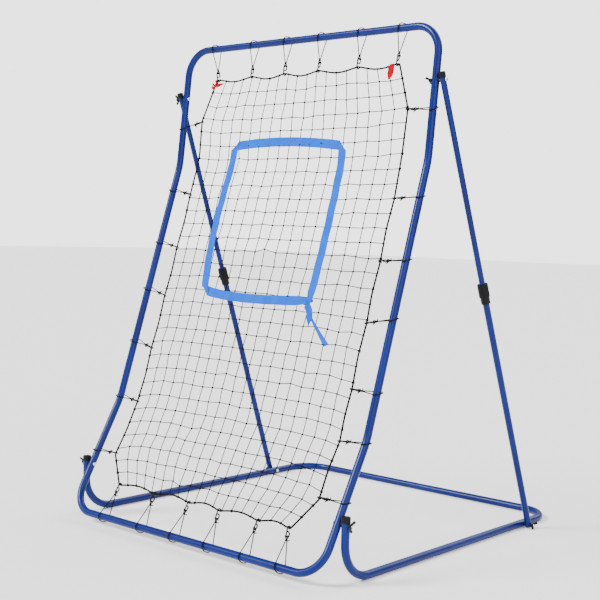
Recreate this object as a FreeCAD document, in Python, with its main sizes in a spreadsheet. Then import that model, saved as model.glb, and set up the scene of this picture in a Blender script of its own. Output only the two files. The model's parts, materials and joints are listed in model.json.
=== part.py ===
import FreeCAD, Part
import math
import os

import Sketcher
from FreeCAD import Placement, Rotation, Vector

# Pitch back rebounder: a bent steel tube frame that holds a slack net on elastic loops, a floor base
# that carries the frame on two bolts, and two telescopic struts that hold it up from behind.
# Millimetres. +X is the thrower's right, -Y faces the thrower, +Z is up. The origin is on the floor,
# on the centre plane, straight under the frame's bottom bar.

doc = FreeCAD.newDocument("PitchBackRebounder")
sheet = doc.addObject("Spreadsheet::Sheet", "Params")

# ---------------------------------------------------------------- driving dimensions
driving = {
    "frame_width": 1110, "tube_dia": 25, "tube_wall": 1.2,
    "bottom_bar_height": 32.5, "lower_run": 420, "middle_run": 879, "upper_run": 420,
    "lower_lean": 28.6, "middle_lean": 17.3, "upper_lean": 5.9,
    "corner_radius": 90, "bend_radius": 220, "right_angle": 90,
    "lower_seam": 195, "upper_seam": 199, "seam_gap": 0.4,
    "swage_dia": 22.5, "swage_length": 50, "shoulder": 3,
    "lower_pivot": 165, "upper_pivot": 175, "side_gap": 4, "top_gap": 5.5,
    "base_rear": 1274, "base_bend": 110, "corner_stub": 9, "rear_seam": 465,
    "rear_pivot": 1068, "strut_dia": 22, "strut_wall": 1.4, "inner_dia": 19, "inner_wall": 1.2,
    "tube_past_bolt": 22, "strut_foot": 5.5, "collar_start": 840, "collar_length": 22,
    "collar_dia": 30, "neck_dia": 27, "neck_length": 18, "lower_tube_end": 866, "overlap": 250,
    "nut_dia": 35, "nut_length": 44.5, "nut_ribs": 18, "rib_dia": 3.4,
    "cap_wall": 1.6, "cap_gap": 7.2, "cap_top": 2.6, "cap_round": 1.6,
    "bolt_dia": 6, "bolt_hole": 6.2, "head_dia": 12.5, "head_height": 3.2, "spacer_dia": 13,
    "wing_hub": 13, "wing_hub_height": 9, "wing_reach": 18, "wing_height": 17, "wing_thick": 5,
    "net_thick": 2, "rope_dia": 6, "cord_dia": 3, "hook_wire": 4.4, "hook_bend": 6,
    "ribbon_width": 32, "ribbon_thick": 1.2,
}


def fill_sheet(values, first_row):
    for row, (name, value) in enumerate(values.items(), first_row):
        sheet.set("A%d" % row, name)
        sheet.set("B%d" % row, "%.9g" % value)
        sheet.setAlias("B%d" % row, name)


fill_sheet(driving, 1)
doc.recompute()


def cell(name):
    return float(sheet.get(name))


def unit(lean):
    """The direction that climbs at this lean from the vertical, in the Y-Z plane."""
    return Vector(0, math.sin(math.radians(lean)), math.cos(math.radians(lean)))


def front(lean):
    """The direction square to a run of this lean that faces the thrower."""
    return Vector(0, -math.cos(math.radians(lean)), math.sin(math.radians(lean)))


leans = [cell("lower_lean"), cell("middle_lean"), cell("upper_lean")]
runs = [cell("lower_run"), cell("middle_run"), cell("upper_run")]
lower_turn = leans[0] - leans[1]
upper_turn = leans[1] - leans[2]
lower_tangent = cell("bend_radius") * math.tan(math.radians(lower_turn / 2))
upper_tangent = cell("bend_radius") * math.tan(math.radians(upper_turn / 2))
straights = [runs[0] - lower_tangent, runs[1] - lower_tangent - upper_tangent, runs[2] - upper_tangent]
arc_lengths = [cell("bend_radius") * math.radians(turn) for turn in (lower_turn, upper_turn)]
profile_length = sum(straights) + sum(arc_lengths)


def profile(along, x=0.0, forward=0.0):
    """A point on the frame's side profile: along it from the bottom bar's axis, at this X, and moved
    forward, square to the profile, towards the thrower."""
    point = Vector(0, 0, cell("bottom_bar_height"))
    left = along
    for index in range(3):
        step = left if index == 2 else min(left, straights[index])
        point += unit(leans[index]) * step
        left -= step
        if left <= 0 or index == 2:
            return point + front(leans[index]) * forward + Vector(x, 0, 0)
        turned = min(left, arc_lengths[index])
        angle = math.degrees(turned / cell("bend_radius"))
        centre = point + front(leans[index]) * cell("bend_radius")
        point = centre - front(leans[index] - angle) * cell("bend_radius")
        left -= turned
        if left <= 0:
            return point + front(leans[index] - angle) * forward + Vector(x, 0, 0)


def lean_at(along):
    """The profile's lean at this place along it."""
    step = 0.5
    chord = profile(along + step) - profile(along - step)
    return math.degrees(math.atan2(chord.y, chord.z))


side_x = cell("frame_width") / 2
rail_x = side_x + cell("tube_dia") + cell("side_gap")
rail_z = cell("tube_dia") / 2
strut_top_x = side_x + cell("tube_dia") / 2 + cell("top_gap") + cell("inner_dia") / 2
strut_foot_x = rail_x + cell("tube_dia") / 2 + cell("side_gap") + cell("strut_dia") / 2
lower_pivot = profile(cell("lower_pivot"))
upper_pivot = profile(profile_length - cell("upper_pivot"))
rear_pivot = Vector(0, cell("rear_pivot"), rail_z)
strut_line = Vector(strut_top_x - strut_foot_x, upper_pivot.y - rear_pivot.y,
                    upper_pivot.z - rear_pivot.z)

derived = {
    "bore_dia": cell("tube_dia") - 2 * cell("tube_wall"),
    "swage_bore": cell("swage_dia") - 2 * cell("tube_wall"),
    "strut_bore": cell("strut_dia") - 2 * cell("strut_wall"),
    "inner_bore": cell("inner_dia") - 2 * cell("inner_wall"),
    "lower_turn": lower_turn, "upper_turn": upper_turn,
    "lower_leg": cell("lower_seam") - cell("corner_radius"),
    "upper_leg": cell("upper_seam") - cell("corner_radius"),
    "bar_run": cell("frame_width") - 2 * cell("corner_radius"),
    "side_low": straights[0] - cell("lower_seam") - cell("seam_gap"),
    "side_middle": straights[1],
    "side_high": straights[2] - cell("upper_seam") - cell("seam_gap"),
    "upright_run": lower_pivot.z + cell("tube_past_bolt") - rail_z - cell("base_bend"),
    "rail_run": cell("base_rear") - cell("base_bend") - lower_pivot.y - cell("base_bend") - cell("corner_stub"),
    "rear_length": 2 * cell("rear_seam") - 2 * cell("seam_gap"),
    "rail_pivot": cell("rear_pivot") - lower_pivot.y,
    "strut_length": strut_line.Length,
    "lower_tube": cell("lower_tube_end") + cell("strut_foot"),
    "upper_tube": strut_line.Length + cell("tube_past_bolt") - cell("lower_tube_end") + cell("overlap"),
    "cap_height": cell("tube_past_bolt") - cell("cap_gap") + cell("cap_top"),
    "nut_bore": cell("inner_dia") + 0.4,
    "nut_neck": cell("neck_dia") + 0.4,
    "collet_dia": cell("neck_dia") - 3,
    "collet_bore": cell("inner_dia") + 0.2,
}
fill_sheet(derived, 1 + len(driving))
doc.recompute()

nodes = []


def keep(label, thing):
    """Names a finished sub-part. Its label names its file."""
    thing.Label = label
    nodes.append(thing)
    return thing


def axes(x_axis, z_axis, at):
    """A placement whose local X and Z axes point these ways."""
    return Placement(at, Rotation(x_axis, z_axis.cross(x_axis), z_axis, "ZXY"))


# ---------------------------------------------------------------- PartDesign helpers
def origin_plane(body, role):
    return [item for item in body.Origin.OriginFeatures if item.Role == role][0]


def sketch_on(body, name, role, offset=None):
    sketch = body.newObject("Sketcher::SketchObject", name)
    sketch.AttachmentSupport = [(origin_plane(body, role), "")]
    sketch.MapMode = "FlatFace"
    if offset is not None:
        sketch.AttachmentOffset = offset
    return sketch


def bind(sketch, constraint, label, formula):
    index = sketch.addConstraint(constraint)
    sketch.renameConstraint(index, label)
    sketch.setExpression("Constraints." + label, formula)


def circles(body, name, role, aliases, offset=None):
    """A sketch of circles round its own origin, one for each diameter."""
    sketch = sketch_on(body, name, role, offset)
    for alias in aliases:
        edge = sketch.addGeometry(Part.Circle(Vector(), Vector(0, 0, 1), cell(alias) / 2), False)
        sketch.addConstraint(Sketcher.Constraint("Coincident", edge, 3, -1, 1))
        bind(sketch, Sketcher.Constraint("Diameter", edge, cell(alias)), alias, "Params." + alias)
    return sketch


def heading_vector(degrees):
    return Vector(math.cos(math.radians(degrees)), math.sin(math.radians(degrees)), 0)


def spine(body, name, role, steps, heading=90, offset=None):
    """A path of straight runs and tangent arcs from the sketch's origin. A step is (length,) or
    (radius, turn, side), and side is 1 for a turn to the left and -1 for one to the right.
    Returns the sketch, its end and its last heading."""
    sketch = sketch_on(body, name, role, offset)
    at = Vector()
    formula = str(heading)
    last = None
    for step in steps:
        size = cell(step[0])
        if len(step) == 1:
            end = at + heading_vector(heading) * size
            edge = sketch.addGeometry(Part.LineSegment(at, end), False)
            bind(sketch, Sketcher.Constraint("Distance", edge, size), "run%d" % edge, "Params." + step[0])
            if last is None:
                sketch.addConstraint(Sketcher.Constraint("Coincident", edge, 1, -1, 1))
                straight = "Vertical" if heading == 90 else "Horizontal"
                sketch.addConstraint(Sketcher.Constraint(straight, edge))
            else:
                sketch.addConstraint(Sketcher.Constraint("Tangent", last[0], last[1], edge, 1))
                angle = Sketcher.Constraint("Angle", edge, math.radians(heading))
                bind(sketch, angle, "heading%d" % edge, formula)
            at = end
            last = (edge, 2)
            continue
        side = step[2]
        turn = cell(step[1]) * side
        centre = at + heading_vector(heading + 90) * size * side
        start = math.radians(heading - 90 * side)
        stop = start + math.radians(turn)
        span = (start, stop) if side > 0 else (stop, start)
        edge = sketch.addGeometry(Part.ArcOfCircle(Part.Circle(centre, Vector(0, 0, 1), size), *span), False)
        entry, leave = (1, 2) if side > 0 else (2, 1)
        sketch.addConstraint(Sketcher.Constraint("Tangent", last[0], last[1], edge, entry))
        bind(sketch, Sketcher.Constraint("Radius", edge, size), "radius%d" % edge, "Params." + step[0])
        at = centre + Vector(math.cos(stop), math.sin(stop), 0) * size
        heading += turn
        formula += (" + " if side > 0 else " - ") + "Params." + step[1]
        last = (edge, leave)
    return sketch, at, heading


def pipe(body, name, ring, path):
    feature = body.newObject("PartDesign::AdditivePipe", name)
    feature.Profile = ring
    feature.Spine = (path, [])
    body.Tip = feature
    return feature


def pad(body, name, sketch, length_alias):
    feature = body.newObject("PartDesign::Pad", name)
    feature.Profile = sketch
    feature.setExpression("Length", "Params." + length_alias)
    body.Tip = feature
    return feature


def drill(body, name, sketch):
    """Cuts the sketch through the whole body, both ways from its plane."""
    feature = body.newObject("PartDesign::Pocket", name)
    feature.Profile = sketch
    feature.Type = "ThroughAll"
    feature.SideType = "Symmetric"
    body.Tip = feature
    return feature


def swage(body, name, role, offset):
    """A reduced tube end that slips into the next tube. It points along the sketch's -Y from its
    origin, and its shoulder sits inside the full tube behind it."""
    sketch = sketch_on(body, name + "_sketch", role, offset)
    inner = cell("swage_bore") / 2
    outer = cell("swage_dia") / 2
    full = cell("tube_dia") / 2 - cell("tube_wall") / 2
    corners = [(inner, -cell("swage_length")), (outer, -cell("swage_length")), (outer, 0), (full, 0),
               (full, cell("shoulder")), (inner, cell("shoulder"))]
    points = [Vector(radius, height, 0) for radius, height in corners]
    for start, end in zip(points, points[1:] + points[:1]):
        sketch.addGeometry(Part.LineSegment(start, end), False)
    for edge in range(6):
        sketch.addConstraint(Sketcher.Constraint("Coincident", edge, 2, (edge + 1) % 6, 1))
        sketch.addConstraint(Sketcher.Constraint("Horizontal" if edge % 2 == 0 else "Vertical", edge))
    bind(sketch, Sketcher.Constraint("DistanceX", -1, 1, 0, 1, inner), "bore", "Params.swage_bore / 2")
    bind(sketch, Sketcher.Constraint("DistanceX", -1, 1, 1, 1, outer), "outside", "Params.swage_dia / 2")
    bind(sketch, Sketcher.Constraint("DistanceX", -1, 1, 3, 1, full), "full",
         "(Params.tube_dia - Params.tube_wall) / 2")
    bind(sketch, Sketcher.Constraint("DistanceY", 0, 1, -1, 1, cell("swage_length")), "length",
         "Params.swage_length")
    bind(sketch, Sketcher.Constraint("DistanceY", -1, 1, 3, 2, cell("shoulder")), "shoulder",
         "Params.shoulder")
    sketch.addConstraint(Sketcher.Constraint("PointOnObject", 2, 1, -1))
    feature = body.newObject("PartDesign::Revolution", name)
    feature.Profile = sketch
    feature.ReferenceAxis = (sketch, ["V_Axis"])
    feature.Angle = 360
    body.Tip = feature
    return feature


def flat_offset(across, up, turned=0.0, out=0.0):
    """Moves a sketch within its plane, turns it there, and lifts it off the plane."""
    return Placement(Vector(across, up, out), Rotation(Vector(0, 0, 1), turned))


# ---------------------------------------------------------------- main frame
def u_tube(label, leg_alias, hole_at, placement):
    """The frame's top or bottom tube: two legs, two round corners and the bar between them."""
    body = doc.addObject("PartDesign::Body", label)
    steps = [(leg_alias,), ("corner_radius", "right_angle", -1), ("bar_run",),
             ("corner_radius", "right_angle", -1), (leg_alias,)]
    path, end, heading = spine(body, label + "_path", "XZ_Plane", steps)
    ring = circles(body, label + "_ring", "XY_Plane", ["tube_dia", "bore_dia"])
    pipe(body, label + "_pipe", ring, path)
    hole = circles(body, label + "_hole", "YZ_Plane", ["bolt_hole"], flat_offset(0, hole_at))
    drill(body, label + "_drill", hole)
    body.Placement = placement
    return keep(label, body)


x_way = Vector(1, 0, 0)
u_tube("frame_bottom_bar", "lower_leg", cell("lower_seam") - cell("lower_pivot"),
       axes(x_way, -unit(leans[0]), profile(cell("lower_seam"), -side_x)))
u_tube("frame_top_bar", "upper_leg", cell("upper_seam") - cell("upper_pivot"),
       axes(x_way, unit(leans[2]), profile(profile_length - cell("upper_seam"), -side_x)))


def side_tube(label, x):
    """A side of the frame, with its two slight bends and a swaged end in each U-shaped tube."""
    body = doc.addObject("PartDesign::Body", label)
    steps = [("side_low",), ("bend_radius", "lower_turn", 1), ("side_middle",),
             ("bend_radius", "upper_turn", 1), ("side_high",)]
    path, end, heading = spine(body, label + "_path", "XZ_Plane", steps)
    ring = circles(body, label + "_ring", "XY_Plane", ["tube_dia", "bore_dia"])
    pipe(body, label + "_pipe", ring, path)
    swage(body, label + "_low_swage", "XZ_Plane", flat_offset(0, 0))
    swage(body, label + "_high_swage", "XZ_Plane", flat_offset(end.x, end.y, heading + 90))
    low_hole = cell("lower_pivot") - cell("lower_seam") - cell("seam_gap")
    drill(body, label + "_low_drill",
          circles(body, label + "_low_hole", "XZ_Plane", ["bolt_hole"], flat_offset(0, low_hole)))
    beyond = heading_vector(heading) * (cell("upper_seam") - cell("upper_pivot") + cell("seam_gap"))
    high_at = end + beyond
    drill(body, label + "_high_drill",
          circles(body, label + "_high_hole", "XZ_Plane", ["bolt_hole"], flat_offset(high_at.x, high_at.y)))
    start = profile(cell("lower_seam") + cell("seam_gap"), x)
    body.Placement = axes(-front(leans[0]), unit(leans[0]), start)
    return keep(label, body)


side_tube("frame_left_side_tube", -side_x)
side_tube("frame_right_side_tube", side_x)


# ---------------------------------------------------------------- base
def base_rail(label, side):
    """One side of the base: an upright that carries the frame, a rail on the floor, and the rear
    corner, whose swaged end slips into the rear bar. Its local Z runs down the upright and its
    local X runs back along the rail."""
    body = doc.addObject("PartDesign::Body", label)
    steps = [("upright_run",), ("base_bend", "right_angle", -1), ("rail_run",)]
    path, end, heading = spine(body, label + "_path", "XZ_Plane", steps)
    ring = circles(body, label + "_ring", "XY_Plane", ["tube_dia", "bore_dia"])
    pipe(body, label + "_pipe", ring, path)
    corner_steps = [("corner_stub",), ("base_bend", "right_angle", -side), ("corner_stub",)]
    corner_offset = flat_offset(end.x, 0, 0, end.y)
    corner, corner_end, corner_heading = spine(body, label + "_corner_path", "XY_Plane", corner_steps, 0,
                                               corner_offset)
    corner_ring = circles(body, label + "_corner_ring", "YZ_Plane", ["tube_dia", "bore_dia"],
                          flat_offset(0, end.y, 0, end.x))
    pipe(body, label + "_corner", corner_ring, corner)
    seam = flat_offset(end.x + corner_end.x, corner_end.y, corner_heading + 90, end.y)
    swage(body, label + "_swage", "XY_Plane", seam)
    upright_hole = circles(body, label + "_upright_hole", "XZ_Plane", ["bolt_hole"],
                           flat_offset(0, cell("tube_past_bolt")))
    drill(body, label + "_upright_drill", upright_hole)
    rail_hole = circles(body, label + "_rail_hole", "XZ_Plane", ["bolt_hole"],
                        flat_offset(cell("rail_pivot"), end.y))
    drill(body, label + "_rail_drill", rail_hole)
    top = Vector(side * rail_x, lower_pivot.y, lower_pivot.z + cell("tube_past_bolt"))
    body.Placement = axes(Vector(0, 1, 0), Vector(0, 0, -1), top)
    return keep(label, body)


base_rail("base_left_rail", -1)
base_rail("base_right_rail", 1)


def rear_bar(label):
    """The straight tube that joins the two rails behind."""
    body = doc.addObject("PartDesign::Body", label)
    ring = circles(body, label + "_ring", "XY_Plane", ["tube_dia", "bore_dia"])
    pad(body, label + "_pad", ring, "rear_length")
    start = Vector(-cell("rear_length") / 2, cell("base_rear"), rail_z)
    body.Placement = axes(Vector(0, 1, 0), x_way, start)
    return keep(label, body)


rear_bar("base_rear_bar")


# ---------------------------------------------------------------- struts
strut_slope = math.degrees(math.asin((strut_foot_x - strut_top_x) / strut_line.Length))


def strut_placement(side, along):
    """A placement on the strut's axis, this far up from the rear bolt, with local Z up the strut."""
    line = Vector(side * strut_line.x, strut_line.y, strut_line.z).normalize()
    foot = Vector(side * strut_foot_x, rear_pivot.y, rear_pivot.z)
    across = line.cross(x_way).normalize()
    return axes(across.cross(line), line, foot + line * along)


def bolt_axis_offset(side, height):
    """Turns a sketch on a strut's own YZ plane so that its normal is the bolts' axis."""
    return Placement(Vector(0, height, 0), Rotation(Vector(1, 0, 0), side * strut_slope))


def strut_lower(side, name):
    label = "strut_%s_lower_tube" % name
    body = doc.addObject("PartDesign::Body", label)
    ring = circles(body, label + "_ring", "XY_Plane", ["strut_dia", "strut_bore"])
    pad(body, label + "_pad", ring, "lower_tube")
    hole = circles(body, label + "_hole", "YZ_Plane", ["bolt_hole"],
                   bolt_axis_offset(side, cell("strut_foot")))
    drill(body, label + "_drill", hole)
    body.Placement = strut_placement(side, -cell("strut_foot"))
    return keep(label, body)


# The strut's own joints follow the frame's tilt at constant rates, and the bolt's path through the
# strut's top leaves a straight line. The slot covers that path over the whole tilt.
slot_start = Vector(0, 0, 0)
slot_end = Vector(3.0, -3.6, 0)
slot_clearance = 0.45


def strut_upper(side, name):
    label = "strut_%s_upper_tube" % name
    body = doc.addObject("PartDesign::Body", label)
    ring = circles(body, label + "_ring", "XY_Plane", ["inner_dia", "inner_bore"])
    pad(body, label + "_pad", ring, "upper_tube")
    height = cell("upper_tube") - cell("tube_past_bolt")
    sketch = sketch_on(body, label + "_slot", "YZ_Plane", bolt_axis_offset(side, height))
    radius = cell("bolt_dia") / 2 + slot_clearance
    way = (slot_end - slot_start).normalize()
    square = Vector(-way.y, way.x, 0) * radius
    angle = math.atan2(way.y, way.x)
    sketch.addGeometry(Part.LineSegment(slot_start + square, slot_end + square), False)
    sketch.addGeometry(Part.LineSegment(slot_end - square, slot_start - square), False)
    round_end = Part.Circle(slot_end, Vector(0, 0, 1), radius)
    round_start = Part.Circle(slot_start, Vector(0, 0, 1), radius)
    sketch.addGeometry(Part.ArcOfCircle(round_end, angle - math.pi / 2, angle + math.pi / 2), False)
    sketch.addGeometry(Part.ArcOfCircle(round_start, angle + math.pi / 2, angle + 3 * math.pi / 2), False)
    drill(body, label + "_drill", sketch)
    body.Placement = strut_placement(side, cell("lower_tube_end") - cell("overlap"))
    return keep(label, body)


def collar(side, name):
    """The fixed half of the twist lock: a skirt over the lower tube and a neck that the nut turns on."""
    label = "strut_%s_collar" % name
    body = doc.addObject("PartDesign::Body", label)
    pad(body, label + "_skirt", circles(body, label + "_skirt_ring", "XY_Plane", ["collar_dia", "strut_dia"]),
        "collar_length")
    neck_ring = circles(body, label + "_neck_ring", "XY_Plane", ["neck_dia", "strut_dia"],
                        flat_offset(0, 0, 0, cell("collar_length")))
    pad(body, label + "_neck", neck_ring, "neck_length")
    body.Placement = strut_placement(side, cell("collar_start"))
    return keep(label, body)


def twist_nut(side, name):
    """The turning half of the twist lock, with grip grooves, a wide bore for the neck and the collet
    and a narrow one that guides the upper tube."""
    label = "strut_%s_twist_nut" % name
    body = doc.addObject("PartDesign::Body", label)
    outside = circles(body, label + "_outside", "XY_Plane", ["nut_dia"])
    blank = pad(body, label + "_blank", outside, "nut_length")
    doc.recompute()
    rounded = body.newObject("PartDesign::Fillet", label + "_round")
    rounded.Base = (blank, ["Face2", "Face3"])
    rounded.Radius = 1.6
    body.Tip = rounded
    groove = sketch_on(body, label + "_groove_sketch", "XY_Plane")
    edge = groove.addGeometry(Part.Circle(Vector(cell("nut_dia") / 2 + 0.6, 0, 0), Vector(0, 0, 1),
                                          cell("rib_dia") / 2), False)
    bind(groove, Sketcher.Constraint("Diameter", edge, cell("rib_dia")), "width", "Params.rib_dia")
    bind(groove, Sketcher.Constraint("DistanceX", -1, 1, edge, 3, cell("nut_dia") / 2 + 0.6), "reach",
         "Params.nut_dia / 2 + 0.6")
    groove.addConstraint(Sketcher.Constraint("PointOnObject", edge, 3, -1))
    cut = drill(body, label + "_groove", groove)
    pattern = body.newObject("PartDesign::PolarPattern", label + "_grooves")
    pattern.Originals = [cut]
    pattern.Axis = (groove, ["N_Axis"])
    pattern.Angle = 360
    pattern.setExpression("Occurrences", "Params.nut_ribs")
    body.Tip = pattern
    guide = circles(body, label + "_guide_hole", "XY_Plane", ["nut_bore"])
    drill(body, label + "_guide", guide)
    wide = body.newObject("PartDesign::Pocket", label + "_wide")
    wide.Profile = circles(body, label + "_wide_hole", "XY_Plane", ["nut_neck"])
    wide.Length = cell("nut_length") - 4
    wide.Reversed = True
    body.Tip = wide
    body.Placement = strut_placement(side, cell("collar_start") + cell("collar_length") + 0.4)
    return keep(label, body)


def collet(side, name):
    """The split sleeve that the twist nut squeezes on to the upper tube."""
    label = "strut_%s_collet" % name
    body = doc.addObject("PartDesign::Body", label)
    length = body.newObject("PartDesign::Pad", label + "_pad")
    length.Profile = circles(body, label + "_ring", "XY_Plane", ["collet_dia", "collet_bore"])
    length.Length = 20
    body.Tip = length
    slit = sketch_on(body, label + "_slit_sketch", "XY_Plane")
    half = 1.0
    corners = [Vector(0, -half, 0), Vector(20, -half, 0), Vector(20, half, 0), Vector(0, half, 0)]
    for start, end in zip(corners, corners[1:] + corners[:1]):
        slit.addGeometry(Part.LineSegment(start, end), False)
    drill(body, label + "_slit", slit)
    neck_top = cell("collar_start") + cell("collar_length") + cell("neck_length")
    body.Placement = strut_placement(side, neck_top + 0.1)
    return keep(label, body)


# ---------------------------------------------------------------- caps and plugs
def part_cylinder(name, radius, height, placement):
    """A cylinder whose radius and height are formulas on the sheet."""
    solid = doc.addObject("Part::Cylinder", name)
    solid.setExpression("Radius", radius)
    solid.setExpression("Height", height)
    solid.Placement = placement
    return solid


def part_cut(name, base, tool):
    result = doc.addObject("Part::Cut", name)
    result.Base = base
    result.Tool = tool
    return result


def rounded_end(name, solid, radius):
    """Rounds the far end of a cylinder."""
    doc.recompute()
    result = doc.addObject("Part::Fillet", name)
    result.Base = solid
    result.Edges = [(3, radius, radius)]
    return result


def end_cap(label, tube_alias, placement):
    """A sleeve cap over a cut tube end. Its local origin is at the skirt's edge."""
    outside = part_cylinder(label + "_outside", "Params.%s / 2 + Params.cap_wall" % tube_alias,
                            "Params.cap_height", placement)
    hollow = part_cylinder(label + "_hollow", "Params.%s / 2" % tube_alias,
                           "Params.cap_height - Params.cap_top", placement)
    return keep(label, part_cut(label, rounded_end(label + "_round", outside, cell("cap_round")), hollow))


def foot_plug(side, name):
    """A push-in plug in the strut's lower end, which the rear bolt passes through."""
    label = "strut_%s_foot_plug" % name
    foot = strut_placement(side, -cell("strut_foot"))
    down = foot.multiply(Placement(Vector(), Rotation(Vector(1, 0, 0), 180)))
    flange = part_cylinder(label + "_flange", "Params.strut_dia / 2 - 0.2", "1.6", down)
    stem = part_cylinder(label + "_stem", "Params.strut_bore / 2 - 0.05", "13", foot)
    joined = doc.addObject("Part::Fuse", label + "_joined")
    joined.Base = rounded_end(label + "_round", flange, 1.2)
    joined.Tool = stem
    hole = part_cylinder(label + "_hole", "Params.bolt_hole / 2", "60",
                         axes(Vector(0, 1, 0), x_way, Vector(side * strut_foot_x - 30, rear_pivot.y, rear_pivot.z)))
    return keep(label, part_cut(label, joined, hole))


sides = ((-1, "left"), (1, "right"))
for side, name in sides:
    strut_lower(side, name)
    strut_upper(side, name)
    collar(side, name)
    collet(side, name)
    twist_nut(side, name)
    foot_plug(side, name)
    end_cap("strut_%s_top_cap" % name, "inner_dia",
            strut_placement(side, strut_line.Length + cell("cap_gap")))
    end_cap("base_%s_end_cap" % name, "tube_dia",
            Placement(Vector(side * rail_x, lower_pivot.y, lower_pivot.z + cell("cap_gap")), Rotation()))


# ---------------------------------------------------------------- bolts, spacers and wing nuts
def bolt(name, pivot, head_x, tip_x):
    """A round-head bolt along X from its head's seat to its tip."""
    way = 1 if tip_x > head_x else -1
    seat = Vector(head_x, pivot.y, pivot.z)
    shank = part_cylinder(name + "_shank", "Params.bolt_dia / 2", "%g" % abs(tip_x - head_x),
                          axes(Vector(0, 1, 0), x_way * way, seat))
    dome = part_cylinder(name + "_dome", "Params.head_dia / 2", "Params.head_height",
                         axes(Vector(0, 1, 0), x_way * -way, seat))
    joined = doc.addObject("Part::Fuse", name)
    joined.Base = rounded_end(name + "_head", dome, cell("head_height") - 0.3)
    joined.Tool = shank
    return joined


def spacer(name, pivot, saddle_x, saddle_radius, face_x, saddle_axis):
    """A black spacer between two tubes: hollowed to sit on one of them, flat towards the other."""
    way = 1 if face_x > saddle_x else -1
    start = Vector(saddle_x, pivot.y, pivot.z)
    disc = part_cylinder(name + "_disc", "Params.spacer_dia / 2", "%g" % abs(face_x - saddle_x),
                         axes(Vector(0, 1, 0), x_way * way, start))
    seat = part_cylinder(name + "_seat", "%g" % saddle_radius, "60",
                         Placement(start - saddle_axis * 30, Rotation(Vector(0, 0, 1), saddle_axis)))
    hole = part_cylinder(name + "_hole", "Params.bolt_hole / 2", "60",
                         axes(Vector(0, 1, 0), x_way, start - x_way * 30))
    return part_cut(name, part_cut(name + "_saddle", disc, seat), hole)


def group(label, members):
    compound = doc.addObject("Part::Compound", label)
    compound.Links = members
    return keep(label, compound)


tube_radius = cell("tube_dia") / 2
saddle = tube_radius + 0.05
frame_inside = side_x - tube_radius
upright_outside = rail_x + tube_radius
strut_foot_outside = strut_foot_x + cell("strut_dia") / 2 + 0.5
strut_top_outside = strut_top_x + cell("inner_dia") / 2 + 2.9
nut_depth = cell("wing_hub_height") + 3
group("lower_pivot_bolts", [bolt("lower_bolt_" + name, lower_pivot, side * frame_inside,
                                 side * (upright_outside + nut_depth)) for side, name in sides])
group("rear_pivot_bolts", [bolt("rear_bolt_" + name, rear_pivot, side * (rail_x - tube_radius),
                                side * (strut_foot_outside + nut_depth)) for side, name in sides])
group("upper_pivot_bolts", [
    bolt("upper_bolt_left", upper_pivot, -frame_inside, -(strut_top_outside + nut_depth)),
    bolt("upper_bolt_right", upper_pivot, strut_top_outside, frame_inside - nut_depth)])
group("lower_pivot_spacers", [spacer("lower_spacer_" + name, lower_pivot, side * rail_x, saddle,
                                     side * (side_x + tube_radius + 0.3), Vector(0, 0, 1))
                              for side, name in sides])
group("rear_pivot_spacers", [spacer("rear_spacer_" + name, rear_pivot, side * rail_x, saddle,
                                    side * (strut_foot_x - cell("strut_dia") / 2 - 0.5), Vector(0, 1, 0))
                             for side, name in sides])
group("upper_pivot_spacers", [spacer("upper_spacer_" + name, upper_pivot, side * side_x, saddle,
                                     side * (side_x + tube_radius + 2.8), unit(leans[2]))
                              for side, name in sides])


def wing_nut(label, pivot, seat_x, way, turned):
    """A wing nut with its hub's seat at this X. Its local Z points away from the tube."""
    body = doc.addObject("PartDesign::Body", label)
    reach = cell("wing_reach")
    height = cell("wing_height")
    lobe = 4.2
    half = [(4.5, 1.2), (reach - lobe * 0.55, height - lobe * 1.85),
            (reach - lobe * 0.293, height - lobe * 0.293),
            (reach - lobe * 1.75, height - lobe * 0.4), (4.5, 8.2)]
    right = [Vector(x, z, 0) for x, z in half]
    left = [Vector(-x, z, 0) for x, z in half]
    outline = sketch_on(body, label + "_wing_sketch", "XZ_Plane")
    for points in (right, left):
        outline.addGeometry(Part.LineSegment(points[0], points[1]), False)
        outline.addGeometry(Part.Arc(points[1], points[2], points[3]), False)
        outline.addGeometry(Part.LineSegment(points[3], points[4]), False)
    outline.addGeometry(Part.LineSegment(left[0], right[0]), False)
    outline.addGeometry(Part.LineSegment(left[4], right[4]), False)
    wings = body.newObject("PartDesign::Pad", label + "_wings")
    wings.Profile = outline
    wings.SideType = "Symmetric"
    wings.setExpression("Length", "Params.wing_thick")
    body.Tip = wings
    doc.recompute()
    flat_faces = ["Face%d" % (index + 1) for index, face in enumerate(wings.Shape.Faces)
                  if abs(abs(face.CenterOfMass.y) - cell("wing_thick") / 2) < 0.01]
    soft = body.newObject("PartDesign::Fillet", label + "_soft")
    soft.Base = (wings, flat_faces)
    soft.Radius = 1.2
    body.Tip = soft
    hub_ring = circles(body, label + "_hub_ring", "XY_Plane", ["wing_hub"])
    pad(body, label + "_hub", hub_ring, "wing_hub_height")
    drill(body, label + "_thread", circles(body, label + "_thread_hole", "XY_Plane", ["thread_hole"]))
    spin = Rotation(Vector(0, 0, 1), turned)
    turned_frame = axes(Vector(0, 1, 0), x_way * way, Vector(seat_x, pivot.y, pivot.z))
    body.Placement = turned_frame.multiply(Placement(Vector(), spin))
    return keep(label, body)


fill_sheet({"thread_hole": cell("bolt_dia") + 0.12}, 1 + len(driving) + len(derived))
doc.recompute()
for side, name in sides:
    wing_nut("lower_%s_wing_nut" % name, lower_pivot, side * (upright_outside + 0.1), side, 60)
    wing_nut("rear_%s_wing_nut" % name, rear_pivot, side * (strut_foot_outside + 0.1), side, 30 * side)
wing_nut("upper_left_wing_nut", upper_pivot, -(strut_top_outside + 0.1), -1, 75)
wing_nut("upper_right_wing_nut", upper_pivot, frame_inside - 0.1, -1, 25)


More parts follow.
